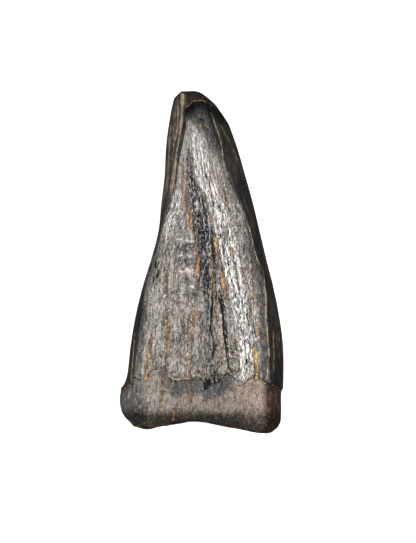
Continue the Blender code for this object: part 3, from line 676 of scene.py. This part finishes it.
class ToothFinish(Finish):
    """Dark satin enamel with filled cracks, a grey and tan root below it and a brown worn tip."""

    def __init__(self):
        super().__init__("fossil_enamel")
        object_place = self.add("ShaderNodeTexCoord", {}, {}, "Object")
        self.place = self.vector_math("SCALE", {0: object_place, "Scale": 1 / MM})
        self.along = self.part_of(self.place, 1)
        self.up = self.part_of(self.place, 2)
        self.across = self.stored("across")
        self.glow = self.stored("glow")
        self.bent = self.bent_flow()
        self.add_noises()
        self.add_masks()
        self.add_crack_masks()

    def bent_flow(self):
        """Places that follow the tooth's growth, a little bent, for noise that runs along it."""
        flow = self.add("ShaderNodeCombineXYZ", {}, {0: self.across, 1: self.along, 2: self.up})
        sockets = {"Vector": self.place, "Scale": 1.6, "Detail": 3.0}
        swerve = self.add("ShaderNodeTexNoise", {}, sockets, "Color")
        swerve = self.vector_math("SUBTRACT", {0: swerve, 1: (0.5, 0.5, 0.5)})
        swerve = self.vector_math("MULTIPLY", {0: swerve, 1: (0.3, 0.2, 0.3)})
        return self.vector_math("ADD", {0: flow, 1: swerve})

    def add_noises(self):
        """From broad streaks and patches down to fine threads, grains and lines, each from 0 to 1."""
        bent, place = self.bent, self.place
        self.streaks = self.spots(bent, (2.6, 0.35, 2.6), 3.0)
        self.strands = self.spots(bent, (7.0, 1.8, 7.0), 3.0, 0.6)
        self.threads = self.spots(bent, (14.0, 4.2, 14.0), 2.0, 0.6)
        self.ripple = self.spots(bent, (2.4, 7.0, 2.4), 3.0, 0.6)
        self.patches = self.spots(place, (0.7, 0.35, 0.7), 3.0)
        self.grains = self.spots(place, (14.0, 9.0, 14.0), 2.0, 0.6)
        self.crumbs = self.spots(place, (9.0, 8.0, 9.0), 3.0, 0.7)
        self.raised = self.strands.ramp(0.43, 0.54)
        self.thread = self.threads.ramp(0.44, 0.54)
        self.lines = self.spots(bent, (5.0, 0.35, 5.0), 3.0, 0.55).away_from(0.5).ramp(0.0, 0.03)
        self.finer_lines = self.spots(bent, (11.0, 2.6, 11.0), 2.0, 0.5).away_from(0.48).ramp(0.0, 0.04)
        self.waves = self.spots(bent, (8.0, 0.9, 8.0), 3.0, 0.5).away_from(0.5).ramp(0.0, 0.07)
        self.curls = self.spots(bent, (5.0, 3.2, 5.0), 3.0, 0.6).away_from(0.5).ramp(0.0, 0.035)

    def add_masks(self):
        """Crown and root, face and sides, and the zones of the face and of the worn tip."""
        self.edge = self.stored("above_edge") + (self.threads - 0.5) * 0.16 + (self.grains - 0.5) * 0.10
        self.crown = self.edge.ramp(-0.015, 0.015)
        self.inside = self.stored("inside") + (self.streaks - 0.5) * 0.06
        self.face = self.inside.ramp(-0.04, 0.02)
        well_inside = self.inside + self.along.ramp(0.5, 3.0) * 0.36 - self.across.ramp(1.0, 2.0) * 0.16
        self.well_inside = well_inside.ramp(0.05, 0.5)
        ragged = (self.strands - 0.5) * 0.9 + (self.threads - 0.5) * 0.5
        self.dark = (self.stored("dark_reflection_band") + ragged).ramp(0.16, 0.6)
        self.pale = (self.stored("highlight_stripe") + ragged).ramp(0.1, 0.8)
        self.flank_sheen = self.stored("flank_sheen")
        self.stained = (self.stored("stain") + ragged).ramp(0.25, 0.8)
        self.grown = self.stored("pale_growth") * self.ripple.ramp(0.4, 0.55)
        foot = self.stored("dark_reflection_foot") * (0.5 + self.streaks.ramp(0.4, 0.6) * 0.42)
        self.foot = foot * (1 - self.stained * 0.4)
        self.past = self.stored("past_worn_edge")
        self.worn = self.past.ramp(-0.01, 0.01).most(self.stored("worn").ramp(0.5, 0.7))
        right_of_tip = self.across.ramp(0.1, 1.4) - self.across.ramp(-0.2, -1.2) * 0.7
        self.near_tip = (self.past + (self.streaks - 0.5) * 1.2 + right_of_tip).ramp(-1.7, -0.9)

    def add_crack_masks(self):
        """Where mineral fills a crack, and where a crack stands open."""
        swell = self.spots(self.place, (3.4, 1.5, 3.4), 3.0, 0.6)
        ragged = (swell - 0.5) * 0.4 + (self.grains - 0.5) * 0.22 + (self.threads - 0.5) * 0.1
        self.fill = self.stored("fill") + ragged
        self.filled = self.fill.ramp(0.015, -0.01)
        self.opened = (self.stored("opened") + (self.threads - 0.5) * 0.08).ramp(0.012, -0.012)

    def face_colour(self):
        """The flatter face: painted grey sheen, a painted highlight stripe, a band of painted dark
        reflection, growth lines and stains.
        """
        # Painted sheen: this grey stands for lamp light reflected by the dark enamel.
        grey = self.mix(srgb(104, 97, 90), srgb(134, 126, 116), self.patches.ramp(0.34, 0.66))
        # Painted sheen: the pale colour on the face to the upper left of the band.
        flank = self.mix(srgb(112, 105, 100), srgb(240, 227, 219), self.thread)
        # Painted highlight: the stripe's pale colour stands for lamp light on the glossy enamel.
        stripe = self.mix(srgb(14, 13, 13), srgb(252, 243, 235), self.waves * (0.5 + self.thread * 0.5))
        # The band is painted dark reflection; its sparkle and its bright upper end are painted glints.
        sparkle = self.threads.ramp(0.48, 0.59) * self.waves * self.strands.ramp(0.44, 0.54)
        band_end_highlight = self.raised * self.thread.ramp(0.2, 0.8) * self.along.ramp(1.4, 2.6)
        band = self.mix(srgb(6, 6, 8), srgb(156, 156, 162), sparkle)
        band = self.mix(band, srgb(196, 192, 190), band_end_highlight * 0.95)
        shade = self.stored("dark_growth") * (0.95 - self.ripple.ramp(0.45, 0.6) * 0.5)
        shade = shade * (1 - self.thread * 0.35)
        stain = self.mix(srgb(88, 68, 52), srgb(178, 151, 124), self.thread)
        tan_crumbs = self.crumbs.ramp(0.63, 0.7) * self.along.ramp(-1.0, -3.5) * self.pale.flipped()
        # Painted shade: the face just below the worn tip is darkened, where the crown curves towards the tip.
        tip = self.mix(srgb(22, 21, 20), srgb(74, 72, 70), self.curls * self.thread)
        # The band's foot: painted dark reflection, with painted glints along its threads.
        foot = self.mix(srgb(12, 12, 14), srgb(150, 142, 135), self.waves * self.thread)
        return self.layered(grey, (
            # Painted glints along the raised strands.
            (srgb(160, 150, 139), self.raised * 0.45),
            (srgb(60, 56, 53), self.thread.flipped() * 0.32),
            (srgb(140, 114, 90), self.streaks.ramp(0.56, 0.7) * 0.45),
            (flank, self.flank_sheen * 0.85),
            (stripe, self.pale * 0.92),
            (band, self.dark * 0.95),
            (srgb(30, 29, 31), shade),
            (srgb(224, 208, 206), self.grown * (0.4 + self.thread * 0.6) * 0.85),
            (stain, self.stained * 0.75),
            (srgb(146, 147, 138), self.stored("chip") * (0.4 + self.thread * 0.4)),
            (srgb(34, 32, 31), self.grains.ramp(0.44, 0.32) * 0.3),
            # Painted glints: pale specks, more of them in the dark band.
            (srgb(236, 230, 224), self.grains.ramp(0.58, 0.7) * (0.35 + self.dark * 0.25)),
            (srgb(212, 182, 138), tan_crumbs * 0.6),
            # Painted shade: the face is darkened near the carinae, where it curls.
            (srgb(48, 46, 44), self.well_inside.flipped() * 0.8),
            (tip, self.near_tip * 0.9),
            (foot, self.foot),
            (srgb(24, 22, 21), self.curls.flipped() * (0.48 - self.pale * 0.3)),
            (srgb(14, 13, 13), self.lines.flipped() * (0.7 + self.pale * 0.25)),
            (srgb(34, 31, 30), self.finer_lines.flipped() * 0.4),
        ))

    def side_colour(self):
        """The dark enamel all round the tooth, with hair-fine pale lines and a browner upper left."""
        hairs = self.spots(self.bent, (4.0, 0.12, 4.0), 2.0, 0.4).away_from(0.5).ramp(0.02, 0.004)
        long_lines = self.spots(self.bent, (6.5, 0.32, 6.5), 3.0, 0.5).away_from(0.5).ramp(0.0, 0.05)
        upper_left = self.across.ramp(0.5, -0.5) * self.along.ramp(-0.5, 4.0) * self.up.ramp(2.6, 4.6)
        upper = self.mix(srgb(64, 58, 53), srgb(188, 170, 148), self.streaks.ramp(0.48, 0.66) * self.thread)
        lit = self.raised * 0.5 + self.patches.ramp(0.4, 0.6) * 0.4
        return self.layered(self.mix(srgb(18, 17, 16), srgb(46, 43, 39), lit), (
            (srgb(150, 126, 98), hairs * self.patches.ramp(0.42, 0.6) * 0.5),
            (self.mix(srgb(18, 17, 16), upper, long_lines), upper_left),
        ))

    def enamel_colour(self):
        """The face and the sides, with painted shade along the carinae where they meet."""
        carina_shade = self.inside.away_from(0.0).ramp(0.06, 0.025) * self.along.ramp(8.3, 7.8)
        enamel = self.mix(self.side_colour(), self.face_colour(), self.face)
        return self.mix(enamel, srgb(10, 9, 9), carina_shade * (0.55 + self.strands.ramp(0.42, 0.55) * 0.4))

    def broken_colour(self):
        """The rough brown break at the root's end."""
        lumps = self.spots(self.place, (3.0, 3.0, 3.0), 5.0, 0.6)
        return self.layered(self.mix(srgb(30, 24, 20), srgb(98, 82, 68), lumps.ramp(0.38, 0.62)), (
            (srgb(150, 124, 94), self.patches.ramp(0.48, 0.66) * lumps.ramp(0.5, 0.64)),
            (srgb(14, 11, 10), self.crumbs.ramp(0.42, 0.3)),
        ))

    def root_colour(self):
        """The root: cool grey at the left, warmer towards the right, with pores, a painted highlight, painted
        shade at its right edge and a brown lower edge darkened by painted shade.
        """
        rightwards = (self.across + (self.streaks - 0.5) * 1.2).ramp(0.8, 2.6)
        outer_right = (self.across + (self.strands - 0.5) * 0.3).ramp(2.92, 3.26)
        root_end = (self.along + (self.grains - 0.5) * 0.5 + (self.strands - 0.5) * 0.5).ramp(-7.65, -8.2)
        under_enamel = self.edge.ramp(-1.0, -0.7) * self.across.away_from(-0.1).ramp(2.0, 1.4)
        uneven = self.across + (self.streaks - 0.5) * 1.6 + (self.strands - 0.5) * 0.8
        blush = self.along.ramp(-6.9, -7.15) * self.along.ramp(-7.75, -7.5)
        blush = blush * self.across.away_from(0.2).ramp(2.0, 0.9)
        dark_streaks = self.streaks.ramp(0.47, 0.36) * self.strands.ramp(0.55, 0.42)
        shaded_brown_side = self.mix(srgb(38, 28, 22), srgb(84, 62, 46), self.raised)
        shaded_brown_end = self.mix(srgb(16, 12, 10), srgb(116, 94, 74), self.crumbs.ramp(0.56, 0.68))
        grey = self.mix(srgb(106, 104, 100), srgb(132, 125, 117), self.patches.ramp(0.35, 0.65))
        return self.layered(grey, (
            # Painted highlight: a soft paler streak down the left part of the root.
            (srgb(154, 142, 129), uneven.away_from(-2.0).ramp(1.1, 0.3) * 0.6),
            (srgb(94, 95, 94), uneven.ramp(-2.4, -3.2) * 0.65),
            (srgb(162, 141, 127), rightwards * 0.75),
            (srgb(138, 114, 103), blush * (0.35 + self.patches * 0.4)),
            (srgb(58, 60, 62), under_enamel * 0.85),
            (srgb(54, 46, 41), self.thread.flipped() * self.raised.flipped() * 0.5),
            (srgb(146, 114, 90), self.streaks.ramp(0.54, 0.70) * (0.3 - under_enamel * 0.22)),
            (srgb(30, 25, 23), self.crumbs.ramp(0.46, 0.34) * 0.6),
            (srgb(206, 196, 184), self.crumbs.ramp(0.61, 0.69) * 0.65),
            (srgb(48, 40, 35), dark_streaks * 0.75),
            (srgb(38, 31, 27), self.lines.flipped() * (0.25 + self.curls.flipped() * 0.5)),
            # Painted shade: the root's right edge is darker brown where it turns down.
            (shaded_brown_side, outer_right),
            # Painted shade: the root darkens to brown-black towards its rounded lower edge.
            (shaded_brown_end, root_end * 0.9),
            (self.broken_colour(), self.stored("broken") * self.up.ramp(6.0, 4.6)),
        ))

    def crack_fill_colour(self):
        """The mineral in the cracks: dull brown, and pale yellow to orange where it glows."""
        core = self.fill.ramp(0.0, -0.035) * self.glow.ramp(0.1, 0.9)
        bright = self.mix(srgb(232, 206, 140), srgb(212, 140, 84), self.stored("warmth"))
        bright = self.mix(bright, srgb(240, 214, 172), self.grains.ramp(0.58, 0.68) * 0.7)
        return self.layered(self.mix(srgb(88, 70, 54), srgb(178, 152, 120), self.thread * self.raised), (
            (bright, core),
            (srgb(58, 40, 28), self.grains.ramp(0.52, 0.42) * 0.75),
            (srgb(84, 60, 44), self.strands.ramp(0.52, 0.44) * 0.6),
        ))

    def tooth_colour(self):
        """Enamel and root, with the enamel's rim, painted shadows below it and below the worn tip's edge, the
        pale lines, the worn tip and the cracks over them.
        """
        rim = self.edge.ramp(0.0, 0.015) * self.edge.ramp(0.06, 0.035) * self.strands.ramp(0.44, 0.52)
        # Painted shadow: a dark line just below the enamel's raised edge.
        shadow_under_rim = self.edge.ramp(-0.09, -0.04) * self.edge.ramp(0.01, -0.01)
        # The pale lines are partly tan mineral and partly painted highlights along the carinae.
        pale_line = self.stored("pale_line") + (self.threads - 0.5) * 0.14 + (self.grains - 0.5) * 0.06
        pale_line = pale_line.ramp(0.01, -0.012) * self.strands.ramp(0.4, 0.5)
        worn_tip = self.mix(srgb(52, 42, 38), srgb(84, 70, 60), self.streaks.ramp(0.45, 0.65))
        worn_rim = self.past.away_from(0.0).ramp(0.03, 0.012) * self.face * self.strands.ramp(0.42, 0.5)
        border = self.fill.ramp(0.075, 0.03) * self.filled.flipped()
        return self.layered(self.mix(self.root_colour(), self.enamel_colour(), self.crown), (
            (srgb(186, 160, 124), rim * 0.8),
            (srgb(12, 10, 9), shadow_under_rim * 0.92),
            (self.mix(srgb(128, 110, 90), srgb(206, 184, 152), self.thread), pale_line * 0.85),
            # Painted shadow just below the worn tip's edge.
            (srgb(10, 9, 9), self.past.ramp(-0.9, -0.2) * 0.92),
            (worn_tip, self.worn),
            (srgb(172, 148, 118), worn_rim * 0.8),
            (srgb(24, 20, 18), border * (0.5 + self.glow * 0.15)),
            (self.crack_fill_colour(), self.filled * (0.72 + self.glow * 0.25)),
            (srgb(8, 8, 9), self.opened * 0.95),
        ))

    def gloss(self):
        """How much each place shines: most on the painted highlight stripe, least in the cracks and on the
        worn tip.
        """
        gloss = 0.70 + self.pale * 0.6 + self.flank_sheen * 0.2
        gloss = gloss * (1 - self.dark * (0.95 - self.thread * self.raised * 0.7))
        gloss = gloss * (1 - self.face * self.well_inside.flipped() * 0.8)
        gloss = gloss * (1 - self.near_tip * 0.5) * (1 - self.past.ramp(-0.8, -0.2))
        gloss = gloss * (0.4 + self.crown * 0.6)
        gloss = gloss * (1 - self.filled * (0.4 + self.glow * 0.4)) * (1 - self.opened)
        gloss = gloss * (0.3 + self.raised * 0.4 + self.thread * 0.3) * self.lines
        gloss = gloss * (0.5 + self.curls * 0.5) * (0.5 + self.face * 0.5)
        return gloss * (1 - self.foot * 0.7) + self.grown * 0.4

    def finished(self):
        """The finished material, with its colour, roughness, fine bumps and gloss."""
        rough = 0.19 + self.patches.ramp(0.3, 0.7) * 0.06 + (1 - self.face) * 0.12
        rough = rough + (1 - self.crown) * 0.14 + self.filled * 0.35 + self.opened * 0.3 + self.worn * 0.2
        height = self.strands * 0.018 + self.threads * 0.016 + self.lines * 0.014
        height = height + self.finer_lines * 0.006 + self.curls * 0.012
        height = height + self.grains * (0.006 + self.crown.flipped() * 0.012)
        bump = self.add("ShaderNodeBump", {}, {"Strength": 1.0, "Distance": MM, "Height": height})
        return self.done(self.tooth_colour(), rough, bump, self.gloss())


def floor_finish():
    floor = Finish("pale_floor")
    sockets = {"Base Color": FLOOR_WHITE, "Roughness": FLOOR_ROUGHNESS}
    sockets |= {"Emission Color": FLOOR_WHITE, "Emission Strength": FLOOR_GLOW}
    floor.add_output(floor.add("ShaderNodeBsdfPrincipled", {}, sockets))
    return floor.material


def make_floor():
    bpy.ops.object.select_all(action="DESELECT")
    bpy.ops.mesh.primitive_plane_add(size=FLOOR_SIZE, location=(0, 0, -FLOOR_GAP))
    floor = bpy.context.view_layer.objects.active
    floor.name = "floor"
    bpy.ops.object.transform_apply(location=True, rotation=False, scale=True)
    floor.data.materials.append(floor_finish())
    floor.visible_glossy = floor.visible_diffuse = False


def soft_light(name, side_angle, lean_angle, distance, width, height, radiance):
    """A rectangular lamp that looks at the tooth, its angles from overhead towards the right and the tip."""
    lamp = bpy.data.lights.new(name, "AREA")
    lamp.shape = "RECTANGLE"
    lamp.size, lamp.size_y = width, height
    lamp.energy = radiance * math.pi * width * height
    lamp_object = bpy.data.objects.new(name, lamp)
    bpy.context.scene.collection.objects.link(lamp_object)
    side, lean = math.radians(side_angle), math.radians(lean_angle)
    direction = Vector((math.sin(side), math.sin(lean), math.cos(side))).normalized()
    lamp_object.location = direction * distance
    lamp_object.rotation_mode = "QUATERNION"
    lamp_object.rotation_quaternion = direction.to_track_quat("Z", "Y")
    lamp_object.visible_camera = False


def light_scene():
    for lamp in LAMPS:
        soft_light(*lamp)
    world = bpy.data.worlds.new("studio")
    world.use_nodes = True
    world.node_tree.nodes["Background"].inputs["Color"].default_value = (1, 1, 1, 1)
    world.node_tree.nodes["Background"].inputs["Strength"].default_value = STUDIO_GLOW
    bpy.context.scene.world = world
    bpy.context.scene.view_settings.view_transform = "Standard"


def make_camera():
    camera = bpy.data.cameras.new("camera")
    distance = CAMERA_HEIGHT_MM - FACE_HEIGHT_MM
    camera.sensor_width = SENSOR_MM
    camera.lens = SENSOR_MM * distance / FRAME_HEIGHT_MM
    camera.clip_start, camera.clip_end = CLIP_START, CLIP_END
    camera_object = bpy.data.objects.new("camera", camera)
    camera_object.location = Vector((*CAMERA_PLACE_MM, CAMERA_HEIGHT_MM)) * MM
    bpy.context.scene.collection.objects.link(camera_object)
    bpy.context.scene.camera = camera_object


def make_tooth():
    tooth = copy_of_solid("tooth", "tooth_enamel_and_root")
    make_finer(tooth)
    carve_tooth(tooth)
    tooth.data.materials.clear()
    tooth.data.materials.append(ToothFinish().finished())
    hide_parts("tooth")
    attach(tooth, "root")


make_tooth()
make_floor()
light_scene()
make_camera()
